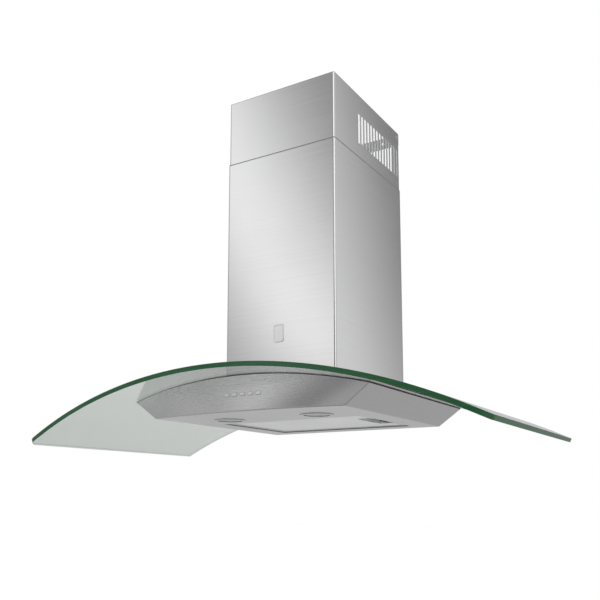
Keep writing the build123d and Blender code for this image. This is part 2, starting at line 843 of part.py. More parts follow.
with BuildPart() as control_box:
    with BuildSketch(Plane.XY.offset(above(control_bottom))):
        with Locations((0, (control_front + control_back) / 2)):
            Rectangle(2 * control_half, control_back - control_front)
    extrude(amount=control_top - control_bottom)
    with BuildSketch(Plane.XZ.offset(-control_back + control_wall)):
        with Locations((0, above(control_middle))):
            Rectangle(2 * (control_half - control_wall), control_top - control_bottom - 2 * control_wall)
    extrude(amount=control_back - control_front, mode=Mode.SUBTRACT)
save(control_box, "control_box")

with BuildPart() as control_box_cover:
    with BuildSketch(Plane.XZ.offset(-control_front)):
        with Locations((0, above(control_middle))):
            Rectangle(2 * control_half, control_top - control_bottom)
    extrude(amount=control_cover_t)
save(control_box_cover, "control_box_cover")

with BuildPart() as power_board:
    with BuildSketch(Plane.XZ.offset(power_board_spacer - box_front)):
        with Locations((power_board_x, above(control_middle))):
            Rectangle(power_board_width, power_board_tall)
    extrude(amount=power_board_t)
    with BuildSketch(Plane.XZ.offset(power_board_spacer + power_board_t - box_front)):
        with Locations((power_board_x, above(control_middle))):
            with GridLocations(relay_pitch_x, relay_pitch_z, relay_columns, relay_rows):
                Rectangle(relay_width, relay_tall)
    extrude(amount=relay_depth)
save(power_board, "power_board")

with BuildPart() as run_capacitor:
    with BuildSketch(Plane.XY.offset(above(capacitor_bottom))):
        with Locations((capacitor_x, capacitor_y)):
            Circle(capacitor_r)
    extrude(amount=capacitor_length)
    fillet(edges().filter_by(GeomType.CIRCLE), capacitor_edge_r)
save(run_capacitor, "run_capacitor")

# ---------------------------------------------------------------- push buttons and their switches

cap_proud = 1.0  # the cap stands out of the body's front
cap_edge_r = 0.5
flange_t = 1.0
flange_border = 1.6
flange_width = button_width + 2 * flange_border
flange_tall = button_tall + 2 * flange_border
flange_gap = 0.4  # behind the body's front
stem_length = 6.0
stem_width = 4.0
stem_tall = 3.0
guide_gap = 0.4
guide_stand_off = 2.0
guide_front = face_y + body_sheet + guide_stand_off
guide_depth = 8.0
guide_width = 88.0
guide_tall = 16.0
board_stand_off = 5.5
board_y = guide_front + guide_depth + board_stand_off
board_border = 2.0
board_t = 1.6
switch_size = 6.0
switch_depth = 3.4

for name, x in zip(button_names, button_xs):
    outside_y = front_face_y(x)
    inside_y = outside_y + body_sheet + flange_gap
    with BuildPart() as button:
        with BuildSketch(Plane.XZ.offset(-inside_y)):
            with Locations((x, above(button_height))):
                SlotOverall(button_width, button_tall)
        extrude(amount=inside_y - outside_y + cap_proud)
        fillet(faces().sort_by(Axis.Y)[0].edges(), cap_edge_r)
        with BuildSketch(Plane.XZ.offset(-inside_y)):
            with Locations((x, above(button_height))):
                Rectangle(flange_width, flange_tall)
        extrude(amount=-flange_t)
        with BuildSketch(Plane.XZ.offset(-inside_y - flange_t)):
            with Locations((x, above(button_height))):
                Rectangle(stem_width, stem_tall)
        extrude(amount=-stem_length)
    save(button, f"button_{name}")

with BuildPart() as button_guide:
    with BuildSketch(Plane.XZ.offset(-guide_front - guide_depth)):
        with Locations((button_row_x, above(button_height))):
            Rectangle(guide_width, guide_tall)
        with Locations(*[(x, above(button_height)) for x in button_xs]):
            Rectangle(flange_width + 2 * guide_gap, flange_tall + 2 * guide_gap, mode=Mode.SUBTRACT)
    extrude(amount=guide_depth)
save(button_guide, "button_guide")

with BuildPart() as switch_board:
    with BuildSketch(Plane.XZ.offset(-board_y)):
        with Locations((button_row_x, above(button_height))):
            Rectangle(guide_width + 2 * board_border, guide_tall + board_border)
    extrude(amount=-board_t)
save(switch_board, "switch_board")

with BuildPart() as push_switches:
    with BuildSketch(Plane.XZ.offset(-board_y)):
        with Locations(*[(x, above(button_height)) for x in button_xs]):
            Rectangle(switch_size, switch_size)
    extrude(amount=switch_depth)
save(push_switches, "push_switches")

# ---------------------------------------------------------------- lamps

trim_r = lamp_hole_r + 3.0
trim_width = 6.5
trim_t = 1.1
trim_gap = 0.1  # under the body
trim_edge_r = 0.8
can_r = lamp_hole_r - 0.5
can_wall = 1.5
can_height = 15.9
can_top_t = 1.4
lens_gap = 0.2
lens_bottom = 0.1
lens_t = 3.0

for side_name, side in (("left", -1), ("right", 1)):
    centre = (side * lamp_x, lamp_y)
    with BuildPart() as lamp_housing:
        with BuildSketch(Plane.XY.offset(above(-trim_gap - trim_t))):
            with Locations(centre):
                Circle(trim_r)
                Circle(trim_r - trim_width, mode=Mode.SUBTRACT)
        extrude(amount=trim_t)
        outer_edge = edges().filter_by(GeomType.CIRCLE).group_by(Axis.Z)[0].sort_by(SortBy.RADIUS)[-1]
        fillet(outer_edge, trim_edge_r)
        with BuildSketch(Plane.XY.offset(above(-trim_gap))):
            with Locations(centre):
                Circle(can_r)
                Circle(can_r - can_wall, mode=Mode.SUBTRACT)
        extrude(amount=can_height)
        with BuildSketch(Plane.XY.offset(above(can_height - trim_gap - can_top_t))):
            with Locations(centre):
                Circle(can_r)
        extrude(amount=can_top_t)
    save(lamp_housing, f"lamp_housing_{side_name}")
    with BuildPart() as lamp_lens:
        with BuildSketch(Plane.XY.offset(above(lens_bottom))):
            with Locations(centre):
                Circle(can_r - can_wall - lens_gap)
        extrude(amount=lens_t)
    save(lamp_lens, f"lamp_lens_{side_name}")

# ---------------------------------------------------------------- grease filter

cup_left = 111.0
cup_right = filter_half
cup_front = -196.0
cup_back = -102.0
cup_top = 14.0
cup_wall = 1.2
cup_corner_r = 1.5
cup_gap = 0.3  # between the cup and the filter round it
cup_width = cup_right - cup_left
cup_length = cup_back - cup_front
cup_middle = ((cup_left + cup_right) / 2, (cup_front + cup_back) / 2)
filter_mid_y = (filter_front + filter_back) / 2
filter_length = filter_back - filter_front
rim_edge_r = 1.0
tab_spacing = 120.0
tab_width = 22.0
tab_height = 2.6
tab_t = 1.2
tab_reach = 5.0
tab_root = 2.0  # how far a tab runs on into the frame

with BuildPart() as filter_frame:
    with BuildSketch(Plane.XY.offset(above(filter_bottom))):
        with Locations((0, filter_mid_y)):
            Rectangle(2 * filter_half, filter_length)
            Rectangle(2 * (filter_half - filter_rim), filter_length - 2 * filter_rim, mode=Mode.SUBTRACT)
    extrude(amount=filter_t)
    lower_edges = faces().sort_by(Axis.Z)[0].outer_wire().edges()
    fillet(lower_edges, rim_edge_r)
    with BuildSketch(Plane.XY.offset(above(0))):
        with Locations(cup_middle):
            Rectangle(cup_width + 2 * cup_gap, cup_length + 2 * cup_gap)
    extrude(amount=2 * cup_top, mode=Mode.SUBTRACT)
    # two tabs hook over the edge of the body's opening
    with BuildSketch(Plane.XY.offset(above(tab_height))):
        with Locations((-filter_half - (tab_reach - tab_root) / 2, filter_mid_y)):
            with GridLocations(1, tab_spacing, 1, 2):
                Rectangle(tab_reach + tab_root, tab_width)
    extrude(amount=tab_t)
save(filter_frame, "filter_frame")

mesh_layers = 3
mesh_t = 0.8
mesh_gap = 0.1  # round each sheet, inside the frame
mesh_inset = 0.8  # the outer sheets lie this far inside the frame's faces
mesh_width = 2 * (filter_half - filter_rim - mesh_gap)
mesh_length = filter_length - 2 * (filter_rim + mesh_gap)
mesh_pitch = (filter_t - 2 * mesh_inset - mesh_t) / (mesh_layers - 1)

with BuildPart() as filter_mesh:
    for layer in range(mesh_layers):
        with BuildSketch(Plane.XY.offset(above(filter_bottom + mesh_inset + layer * mesh_pitch))):
            with Locations((0, filter_mid_y)):
                Rectangle(mesh_width, mesh_length)
            with Locations(cup_middle):
                Rectangle(cup_width + 2 * cup_gap, cup_length + 2 * cup_gap, mode=Mode.SUBTRACT)
        extrude(amount=mesh_t)
save(filter_mesh, "filter_mesh")

tongue_centre = -124.0
tongue_width = 10.0
tongue_bottom = 2.2
tongue_t = 2.0
tongue_gap = 0.4
tongue_tip_gap = 0.3
tongue_end = filter_half + filter_gap - tongue_tip_gap  # just short of the opening's edge
slot_top = tongue_bottom + tongue_t + tongue_gap

with BuildPart() as filter_cup:
    with BuildSketch(Plane.XY.offset(above(filter_bottom))):
        with Locations(cup_middle):
            Rectangle(cup_width, cup_length)
    extrude(amount=cup_top - filter_bottom)
    fillet(edges().filter_by(Axis.Z), cup_corner_r)
    with BuildSketch(Plane.XY.offset(above(filter_bottom))):
        with Locations(cup_middle):
            RectangleRounded(cup_width - 2 * cup_wall, cup_length - 2 * cup_wall, cup_corner_r)
    extrude(amount=cup_top - filter_bottom - cup_wall, mode=Mode.SUBTRACT)
    # slot in the outer wall for the latch tongue
    with BuildSketch(Plane.YZ.offset(cup_right - 2 * cup_wall)):
        with Locations((tongue_centre, above((filter_bottom + slot_top) / 2))):
            Rectangle(tongue_width + 2 * tongue_gap, slot_top - filter_bottom)
    extrude(amount=4 * cup_wall, mode=Mode.SUBTRACT)
save(filter_cup, "filter_cup")

latch_left = 129.0
latch_end_gap = 0.5
latch_top_gap = 0.4
latch_corner_r = 1.5
latch_right = cup_right - cup_wall - latch_end_gap
latch_top = cup_top - cup_wall - latch_top_gap
latch_length = 30.0
latch_middle_x = (latch_left + latch_right) / 2
tongue_start = latch_right - 1.0  # inside the latch
finger_hollow_r = 5.0
finger_hollow_length = 11.0
finger_hollow_spacing = 14.0

with BuildPart() as filter_latch:
    with BuildSketch(Plane.XY.offset(above(tongue_bottom))):
        with Locations((latch_middle_x, tongue_centre)):
            Rectangle(latch_right - latch_left, latch_length)
    extrude(amount=latch_top - tongue_bottom)
    fillet(edges().filter_by(Axis.Z), latch_corner_r)
    # two finger hollows with a ridge between them
    for side in (-1, 1):
        hollow_y = tongue_centre + side * finger_hollow_spacing / 2
        with BuildSketch(Plane.XZ.offset(-hollow_y)):
            with Locations((latch_middle_x, above(tongue_bottom))):
                Circle(finger_hollow_r)
        extrude(amount=finger_hollow_length / 2, both=True, mode=Mode.SUBTRACT)
    with BuildSketch(Plane.XY.offset(above(tongue_bottom))):
        with Locations(((tongue_start + tongue_end) / 2, tongue_centre)):
            Rectangle(tongue_end - tongue_start, tongue_width)
    extrude(amount=tongue_t)
save(filter_latch, "filter_latch")

coil_r = 2.6
wire_r = 0.35
coil_turns = 6
coil_gap = 0.2  # at each end
coil_height = 8.0
coil_length = latch_left - cup_left - cup_wall - 2 * coil_gap

with BuildPart() as latch_spring:
    coil_start = (cup_left + cup_wall + coil_gap + wire_r, tongue_centre, above(coil_height))
    coil_pitch = (coil_length - 2 * wire_r) / coil_turns
    with BuildLine():
        coil = Helix(coil_pitch, coil_turns * coil_pitch, coil_r, center=coil_start, direction=(1, 0, 0))
    with BuildSketch(Plane(origin=coil @ 0, z_dir=coil % 0)):
        Circle(wire_r)
    sweep(is_frenet=True)
save(latch_spring, "latch_spring")
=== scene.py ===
"""Looks of the wall-mounted chimney hood with an arched glass canopy. Metres, in the CAD's own frame."""

import json
import math

import bmesh
import bpy
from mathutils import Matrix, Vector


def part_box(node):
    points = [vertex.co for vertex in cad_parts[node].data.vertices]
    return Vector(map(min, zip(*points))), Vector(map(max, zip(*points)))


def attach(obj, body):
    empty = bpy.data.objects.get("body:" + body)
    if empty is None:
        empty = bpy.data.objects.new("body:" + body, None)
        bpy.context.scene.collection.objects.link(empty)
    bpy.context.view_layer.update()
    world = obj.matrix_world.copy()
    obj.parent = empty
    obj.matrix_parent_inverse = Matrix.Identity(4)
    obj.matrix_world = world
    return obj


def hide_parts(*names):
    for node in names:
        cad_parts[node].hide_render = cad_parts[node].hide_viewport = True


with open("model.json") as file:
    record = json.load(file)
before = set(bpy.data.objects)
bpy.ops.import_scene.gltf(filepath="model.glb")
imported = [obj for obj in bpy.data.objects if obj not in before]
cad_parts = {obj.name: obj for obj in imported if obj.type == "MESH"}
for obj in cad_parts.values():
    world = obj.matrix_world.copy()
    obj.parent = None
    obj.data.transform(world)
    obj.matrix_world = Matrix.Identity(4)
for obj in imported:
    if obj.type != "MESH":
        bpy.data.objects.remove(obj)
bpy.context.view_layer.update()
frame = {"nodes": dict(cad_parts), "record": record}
nodes = frame["nodes"]
scene = bpy.context.scene

MM = 0.001
FINE_RELIEF = 0.05 * MM  # height of brushing, moulded grain and other fine textures
BEVEL_SAMPLES = 6
SMOOTH_ANGLE = math.radians(28)  # faces that meet at less than this are shaded as one curve

# ---------------------------------------------------------------- node helpers


class Shader:
    """A new material with a Principled node, and short calls for the nodes that feed it."""

    def __init__(self, name, **settings):
        self.material = bpy.data.materials.new(name)
        self.material.use_nodes = True
        self.tree = self.material.node_tree
        self.bsdf = self.tree.nodes["Principled BSDF"]
        self.output = self.tree.nodes["Material Output"]
        for socket, value in settings.items():
            self.bsdf.inputs[socket.replace("_", " ")].default_value = value
        self.coords = self.tree.nodes.new("ShaderNodeTexCoord").outputs["Object"]

    def node(self, kind, **settings):
        made = self.tree.nodes.new(kind)
        for key, value in settings.items():
            setattr(made, key, value)
        return made

    def link(self, source, target):
        self.tree.links.new(source, target)

    def stretched(self, scale, vector=None):
        """Object coordinates scaled by a different amount on each axis."""
        mapping = self.node("ShaderNodeMapping")
        mapping.inputs["Scale"].default_value = scale
        self.link(vector or self.coords, mapping.inputs["Vector"])
        return mapping.outputs["Vector"]

    def noise(self, vector, scale=1.0, detail=4.0, roughness=0.55):
        made = self.node("ShaderNodeTexNoise")
        made.inputs["Scale"].default_value = scale
        made.inputs["Detail"].default_value = detail
        made.inputs["Roughness"].default_value = roughness
        self.link(vector, made.inputs["Vector"])
        return made.outputs["Fac"]

    def spread(self, value, low, high, start=0.3, end=0.7):
        """Maps start..end of a pattern to low..high."""
        made = self.node("ShaderNodeMapRange")
        for socket, number in (("From Min", start), ("From Max", end), ("To Min", low), ("To Max", high)):
            made.inputs[socket].default_value = number
        self.link(value, made.inputs["Value"])
        return made.outputs["Result"]

    def combined(self, operation, first, second):
        """Arithmetic on two values, each a number or a node's output."""
        made = self.node("ShaderNodeMath", operation=operation)
        for socket, value in zip(made.inputs, (first, second)):
            if isinstance(value, (int, float)):
                socket.default_value = value
            else:
                self.link(value, socket)
        return made.outputs[0]

    def plus(self, first, second):
        return self.combined("ADD", first, second)

    def times(self, first, second):
        return self.combined("MULTIPLY", first, second)

    def mixture(self, first, first_share, second, second_share):
        """Two patterns added up, each with its own share."""
        return self.plus(self.times(first, first_share), self.times(second, second_share))

    def blend(self, factor, first, second):
        """A colour between two others, each given as red, green, blue."""
        made = self.node("ShaderNodeMix", data_type="RGBA")
        self.link(factor, made.inputs["Factor"])
        made.inputs["A"].default_value = (*first, 1)
        made.inputs["B"].default_value = (*second, 1)
        return made.outputs["Result"]

    def colour(self, source):
        self.link(source, self.bsdf.inputs["Base Color"])

    def roughness(self, source):
        self.link(source, self.bsdf.inputs["Roughness"])

    def bump(self, height, strength, distance, normal=None):
        made = self.node("ShaderNodeBump")
        made.inputs["Strength"].default_value = strength
        made.inputs["Distance"].default_value = distance
        self.link(height, made.inputs["Height"])
        if normal is not None:
            self.link(normal, made.inputs["Normal"])
        self.link(made.outputs["Normal"], self.bsdf.inputs["Normal"])

    def soft_edges(self, radius):
        """A normal that rounds sharp folds over this radius."""
        made = self.node("ShaderNodeBevel", samples=BEVEL_SAMPLES)
        made.inputs["Radius"].default_value = radius
        return made.outputs["Normal"]

    def edge_wear(self, radius):
        """1 on sharp edges and 0 away from them: how far the rounded normal turns from the true one."""
        worn_cosine = 0.80
        flat_cosine = 0.995
        geometry = self.node("ShaderNodeNewGeometry")
        turned = self.node("ShaderNodeVectorMath", operation="DOT_PRODUCT")
        self.link(geometry.outputs["Normal"], turned.inputs[0])
        self.link(self.soft_edges(radius), turned.inputs[1])
        return self.spread(turned.outputs["Value"], 1.0, 0.0, start=worn_cosine, end=flat_cosine)


def toned(shade, factor, lift=0.0):
    """A colour made darker or lighter."""
    return [min(1.0, c * factor + lift) for c in shade]


# ---------------------------------------------------------------- materials


def brushed_steel(name, shade, rough, lines, fold=0.7 * MM, contrast=0.035, line_depth=0.02):
    """Stainless sheet with fine brushing. lines is its scale on each axis, large across the lines."""
    streak_scale = 0.3
    steel = Shader(name, Metallic=1.0, Anisotropic=0.2)
    fine = steel.noise(steel.stretched(lines), roughness=0.7)
    long_streaks = steel.noise(steel.stretched([scale * streak_scale for scale in lines]), detail=2.0)
    cloud = steel.noise(steel.coords, scale=3.5, detail=3.0)
    grain = steel.mixture(fine, 0.6, long_streaks, 0.4)
    tone = steel.spread(grain, 0.0, 1.0)
    steel.colour(steel.blend(tone, toned(shade, 1 - contrast), toned(shade, 1 + contrast)))
    patchy = steel.spread(cloud, rough - 0.02, rough + 0.02)
    scratched = steel.spread(fine, -0.03, 0.04)
    wear = steel.times(steel.edge_wear(0.8 * MM), -0.06)
    steel.roughness(steel.plus(steel.plus(patchy, scratched), wear))
    steel.bump(grain, line_depth, FINE_RELIEF, steel.soft_edges(fold))
    return steel.material


def plated_steel(name, shade, rough):
    """Zinc coated sheet with faint spangle."""
    zinc = Shader(name, Metallic=1.0)
    cells = zinc.node("ShaderNodeTexVoronoi", feature="F1")
    cells.inputs["Scale"].default_value = 160.0
    zinc.link(zinc.coords, cells.inputs["Vector"])
    grey = zinc.node("ShaderNodeSeparateColor")
    zinc.link(cells.outputs["Color"], grey.inputs["Color"])
    spangle = grey.outputs["Red"]
    dirt = zinc.noise(zinc.coords, scale=14.0, detail=5.0)
    tone = zinc.mixture(spangle, 0.35, dirt, 0.65)
    zinc.colour(zinc.blend(tone, toned(shade, 0.82), toned(shade, 1.1)))
    zinc.roughness(zinc.spread(tone, rough - 0.06, rough + 0.1, start=0.2, end=0.8))
    zinc.bump(dirt, 0.08, 0.1 * MM, zinc.soft_edges(0.4 * MM))
    return zinc.material


def moulded_plastic(name, shade, rough, grain=900.0, depth=0.12):
    """Moulded plastic with a fine spark-eroded texture."""
    plastic = Shader(name, IOR=1.46)
    texture = plastic.noise(plastic.coords, scale=grain, detail=3.0)
    cloud = plastic.noise(plastic.coords, scale=22.0, detail=3.0)
    worn = plastic.edge_wear(0.5 * MM)
    tone = plastic.spread(plastic.plus(cloud, plastic.times(worn, 0.25)), 0, 1)
    plastic.colour(plastic.blend(tone, toned(shade, 0.85), toned(shade, 1.25, lift=0.004)))
    grained = plastic.spread(texture, rough - 0.05, rough + 0.06)
    plastic.roughness(plastic.plus(grained, plastic.times(worn, -0.08)))
    plastic.bump(texture, depth, FINE_RELIEF, plastic.soft_edges(0.3 * MM))
    return plastic.material


def black_rubber():
    """Soft black strip with a little dust."""
    rubber = Shader("black_rubber", IOR=1.5)
    dust = rubber.noise(rubber.coords, scale=120.0, detail=5.0)
    fine = rubber.noise(rubber.coords, scale=1500.0, detail=2.0)
    rubber.colour(rubber.blend(rubber.spread(dust, 0, 1), (0.012, 0.012, 0.012), (0.03, 0.03, 0.03)))
    rubber.roughness(rubber.spread(dust, 0.55, 0.75))
    rubber.bump(fine, 0.15, FINE_RELIEF, rubber.soft_edges(0.3 * MM))
    return rubber.material


def canopy_glass():
    """The broad faces of the canopy: clear, faintly green, slightly wavy from the toughening furnace."""
    glass = Shader("canopy_glass", IOR=1.5, Transmission_Weight=1.0, Roughness=0.0)
    wave = glass.noise(glass.stretched((6.0, 2.5, 6.0)), detail=1.0)
    film = glass.noise(glass.coords, scale=9.0)
    glass.colour(glass.blend(glass.spread(film, 0, 1), (0.79, 0.84, 0.805), (0.81, 0.86, 0.825)))
    glass.roughness(glass.spread(film, 0.0, 0.008))
    glass.bump(wave, 0.03, 0.6 * MM)
    return glass.material


def glass_edge(name, deep, light):
    """The polished rim, green from outside. From inside the glass it lets light through."""
    edge = Shader(name, IOR=1.5, Specular_IOR_Level=0.2)
    band = edge.noise(edge.stretched((14.0, 14.0, 240.0)), detail=2.0)
    length = edge.noise(edge.coords, scale=5.0, detail=2.0)
    tone = edge.mixture(band, 0.6, length, 0.4)
    edge.colour(edge.blend(edge.spread(tone, 0, 1), deep, light))
    edge.roughness(edge.spread(band, 0.10, 0.22))
    edge.bump(band, 0.05, 0.1 * MM)
    side = edge.node("ShaderNodeNewGeometry")
    clear = edge.node("ShaderNodeBsdfTransparent")
    mix = edge.node("ShaderNodeMixShader")
    edge.link(side.outputs["Backfacing"], mix.inputs[0])
    edge.link(edge.bsdf.outputs[0], mix.inputs[1])
    edge.link(clear.outputs[0], mix.inputs[2])
    edge.link(mix.outputs[0], edge.output.inputs["Surface"])
    return edge.material


def lamp_glass():
    """Frosted lens: milky, with a fine grain."""
    lens = Shader("lamp_lens", IOR=1.5, Subsurface_Weight=0.2)
    grain = lens.noise(lens.coords, scale=1400.0, detail=2.0)
    cloud = lens.noise(lens.coords, scale=60.0, detail=3.0)
    lens.colour(lens.blend(lens.spread(cloud, 0, 1), (0.28, 0.285, 0.285), (0.34, 0.345, 0.34)))
    lens.roughness(lens.spread(grain, 0.28, 0.42))
    lens.bump(grain, 0.25, FINE_RELIEF)
    return lens.material


def expanded_mesh():
    """Anodised expanded aluminium seen flat on: small lozenges between raised, lighter strands."""
    mesh = Shader("filter_mesh", Metallic=1.0)
    lozenges = mesh.node("ShaderNodeTexVoronoi", feature="DISTANCE_TO_EDGE")
    lozenges.inputs["Scale"].default_value = 1.0
    lozenges.inputs["Randomness"].default_value = 0.25
    mesh.link(mesh.stretched((330.0, 520.0, 330.0)), lozenges.inputs["Vector"])
    strands = mesh.spread(lozenges.outputs["Distance"], 1.0, 0.0, start=0.08, end=0.30)
    cloud = mesh.noise(mesh.coords, scale=12.0, detail=3.0)
    tone = mesh.spread(mesh.mixture(strands, 0.8, cloud, 0.2), 0, 1, start=0.05, end=0.85)
    mesh.colour(mesh.blend(tone, (0.90, 0.905, 0.91), (0.97, 0.975, 0.98)))
    mesh.roughness(mesh.spread(cloud, 0.24, 0.30))
    mesh.bump(strands, 0.08, 0.2 * MM)
    return mesh.material


def circuit_board():
    """Green board with a net of tracks."""
    board = Shader("circuit_board", IOR=1.5)
    tracks = board.node("ShaderNodeTexVoronoi", feature="DISTANCE_TO_EDGE")
    tracks.inputs["Scale"].default_value = 170.0
    board.link(board.coords, tracks.inputs["Vector"])
    copper = board.spread(tracks.outputs["Distance"], 1.0, 0.0, start=0.04, end=0.09)
    board.colour(board.blend(copper, (0.015, 0.10, 0.035), (0.05, 0.22, 0.08)))
    board.roughness(board.spread(copper, 0.3, 0.5, start=0.0, end=1.0))
    board.bump(copper, 0.2, FINE_RELIEF)
    return board.material


def motor_paint():
    """Black enamel with a little orange peel and dust."""
    paint = Shader("motor_paint", IOR=1.5, Coat_Weight=0.3, Coat_Roughness=0.2)
    peel = paint.noise(paint.coords, scale=260.0, detail=2.0)
    dust = paint.noise(paint.coords, scale=20.0, detail=5.0)
    paint.colour(paint.blend(paint.spread(dust, 0, 1), (0.02, 0.02, 0.022), (0.05, 0.05, 0.052)))
    paint.roughness(paint.spread(dust, 0.32, 0.5))
    paint.bump(peel, 0.1, 0.1 * MM, paint.soft_edges(0.5 * MM))
    return paint.material


ALONG = 1.6  # scale of the brushing along its lines
chimney_lines = (ALONG, ALONG, 1500.0)  # level, round the chimney
sheet_lines = (ALONG, 1300.0, 1300.0)  # left to right, under the body and up its front
button_lines = (1800.0, ALONG, 1800.0)  # front to back
badge_lines = (900.0, ALONG, ALONG)  # upright
trim_lines = (700.0, 700.0, ALONG)  # upright, round the lamp's rim

chimney_steel = brushed_steel(
    "chimney_steel", (0.66, 0.66, 0.662), 0.13, chimney_lines, fold=2.4 * MM, contrast=0.05
)
# Painted shade: the body is the same stainless as the chimney, with its colour set a little darker than the
# chimney's.
body_steel_painted_shade = brushed_steel(
    "body_steel_painted_shade", (0.63, 0.63, 0.632), 0.26, sheet_lines, contrast=0.02, line_depth=0.008
)
button_steel = brushed_steel("button_steel", (0.75, 0.75, 0.752), 0.16, button_lines)
badge_steel = brushed_steel("badge_steel", (0.70, 0.70, 0.702), 0.20, badge_lines)
frame_aluminium = brushed_steel("filter_frame", (0.68, 0.68, 0.685), 0.30, sheet_lines)
trim_chrome = brushed_steel("lamp_trim", (0.56, 0.56, 0.562), 0.2, trim_lines)
sheet_zinc = plated_steel("galvanised_steel", (0.55, 0.57, 0.59), 0.42)
screw_zinc = plated_steel("zinc_fasteners", (0.70, 0.70, 0.71), 0.24)
black_plastic = moulded_plastic("black_plastic", (0.022, 0.022, 0.024), 0.48)
grey_plastic = moulded_plastic("grey_plastic", (0.42, 0.425, 0.43), 0.42)
white_plastic = moulded_plastic("capacitor_case", (0.75, 0.75, 0.72), 0.3, grain=500.0, depth=0.05)

slot_materials = {
    "brushed_stainless": chimney_steel,
    "button_steel": button_steel,
    "canopy_glass": canopy_glass(),
    "black_rubber": black_rubber(),
    "galvanised_steel": sheet_zinc,
    "zinc_fasteners": screw_zinc,
    "filter_aluminium": frame_aluminium,
    "black_plastic": black_plastic,
    "grey_plastic": grey_plastic,
    "lamp_lens": lamp_glass(),
    "lamp_trim": trim_chrome,
    "circuit_board": circuit_board(),
    "motor_paint": motor_paint(),
    "capacitor_case": white_plastic,
    "badge_metal": badge_steel,
}
node_materials = {
    "hood_shell": body_steel_painted_shade,
    "filter_mesh": expanded_mesh(),
    # Painted shade: the dark grey strip along the joint of the two chimney covers stands in for the shadow
    # line there.
    "chimney_edge_strip": moulded_plastic("seam_shadow_plastic", (0.10, 0.10, 0.102), 0.45),
}


def dress(name, material):
    """Gives a CAD node its material and smooth shading across gentle curves."""
    data = nodes[name].data
    data.materials.clear()
    data.materials.append(material)
    data.shade_smooth()
    data.set_sharp_from_angle(angle=SMOOTH_ANGLE)


for part in frame["record"]["subparts"]:
    dress(part["node"], node_materials.get(part["node"], slot_materials[part["material_slot"]]))

# ---------------------------------------------------------------- glass canopy

GLASS_T = 8.0 * MM
GLASS_BOW = 22.6 * MM  # how far the front edge stands out in its middle
CORNER_R = 14.0 * MM
NOTCH_HALF = 110.0 * MM
NOTCH_R = 18.0 * MM
NOTCH_DEPTH = 272.0 * MM  # from the wall to the notch's front edge
RIM_ROUND = 2.2 * MM
RIM_SEGMENTS = 4
RIM_ANGLE = math.radians(50)  # only the rim's edges are sharper than this

# The net of the sheet: columns across its width, rows from front to back.
EDGE_LOOP = 5.0 * MM
JOIN_Y = -300.0 * MM  # the rows change their spacing just in front of the notch
TOUCHING = 0.001 * MM
OUTER_COLUMNS = 22
CENTRE_COLUMNS = 8
FRONT_ROWS = 6
JOIN_ROWS = 2
BACK_ROWS = 8

# The underside of the sheet is an arc through its tips and crown, and its front edge bows on another arc.
glass_low, glass_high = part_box("glass_canopy")
half_width = glass_high.x
front_y = glass_low.y
tip_z = glass_low.z
crown_z = glass_high.z - GLASS_T
sag = crown_z - tip_z
arch_r = (half_width**2 + sag**2) / (2 * sag)
arch_z = crown_z - arch_r
bow_r = (half_width**2 + GLASS_BOW**2) / (2 * GLASS_BOW)


def bowed_front(x):
    """Front edge of the glass at x, with its rounded corners."""
    y = front_y + bow_r - math.sqrt(bow_r**2 - x**2)
    into = CORNER_R - (half_width - abs(x))
    if into > 0:
        y += CORNER_R - math.sqrt(max(CORNER_R**2 - into**2, 0.0))
    return y


def notch_front(x):
    """Front edge of the notch at x, with its rounded corners."""
    y = -NOTCH_DEPTH
    into = NOTCH_R - (NOTCH_HALF - abs(x))
    if into > 0:
        y += NOTCH_R - math.sqrt(max(NOTCH_R**2 - into**2, 0.0))
    return y


def columns():
    """Where the sheet is cut across its width: close together at the corners, even between them."""
    outer_corner = [half_width - CORNER_R * (1 - math.sin(math.radians(a))) for a in range(90, -1, -18)]
    notch_corner = [NOTCH_HALF - NOTCH_R * (1 - math.sin(math.radians(a))) for a in range(90, 0, -20)]
    span = (outer_corner[-1] - NOTCH_HALF) / OUTER_COLUMNS
    between = [NOTCH_HALF + span * i for i in range(1, OUTER_COLUMNS)]
    centre = [notch_corner[-1] * i / CENTRE_COLUMNS for i in range(CENTRE_COLUMNS)]
    positive = sorted(set(outer_corner + notch_corner + between + centre))
    return [-x for x in reversed(positive) if x > 0] + positive


def rows_at(x):
    """The places in Y of the sheet's rows at x, front to back. Beside the notch there are more of them."""
    front = bowed_front(x)
    beside_notch = abs(x) >= NOTCH_HALF - TOUCHING
    notch_y = notch_front(NOTCH_HALF if beside_notch else x)
    rows = [front, front + EDGE_LOOP]
    rows += [front + (JOIN_Y - front) * i / FRONT_ROWS for i in range(1, FRONT_ROWS + 1)]
    rows += [JOIN_Y + (notch_y - JOIN_Y) * i / JOIN_ROWS for i in range(1, JOIN_ROWS + 1)]
    if beside_notch:
        rows += [notch_y * (1 - i / BACK_ROWS) for i in range(1, BACK_ROWS + 1)]
    return rows


def glass_sheet():
    """The canopy as one curved sheet with a polished, rounded rim."""
    bm = bmesh.new()
    grid = []
    radius = arch_r + GLASS_T
    for x in columns():
        lean = math.asin(x / radius)
        across = radius * math.sin(lean)
        height = arch_z + radius * math.cos(lean)
        grid.append([bm.verts.new((across, y, height)) for y in rows_at(x)])
    for left, right in zip(grid, grid[1:]):
        for i in range(min(len(left), len(right)) - 1):
            bm.faces.new((left[i], right[i], right[i + 1], left[i + 1]))
    data = bpy.data.meshes.new("glass_sheet")
    bm.to_mesh(data)
    bm.free()
    sheet = bpy.data.objects.new("glass_sheet", data)
    scene.collection.objects.link(sheet)
    for face in data.polygons:
        face.use_smooth = True
    thick = sheet.modifiers.new("thickness", "SOLIDIFY")
    thick.thickness = GLASS_T
    thick.offset = -1.0
    thick.use_even_offset = True
    thick.material_offset_rim = 1
    rim = sheet.modifiers.new("rim", "BEVEL")
    rim.width = RIM_ROUND
    rim.segments = RIM_SEGMENTS
    rim.limit_method = "ANGLE"
    rim.angle_limit = RIM_ANGLE
    rim.harden_normals = True
    return sheet


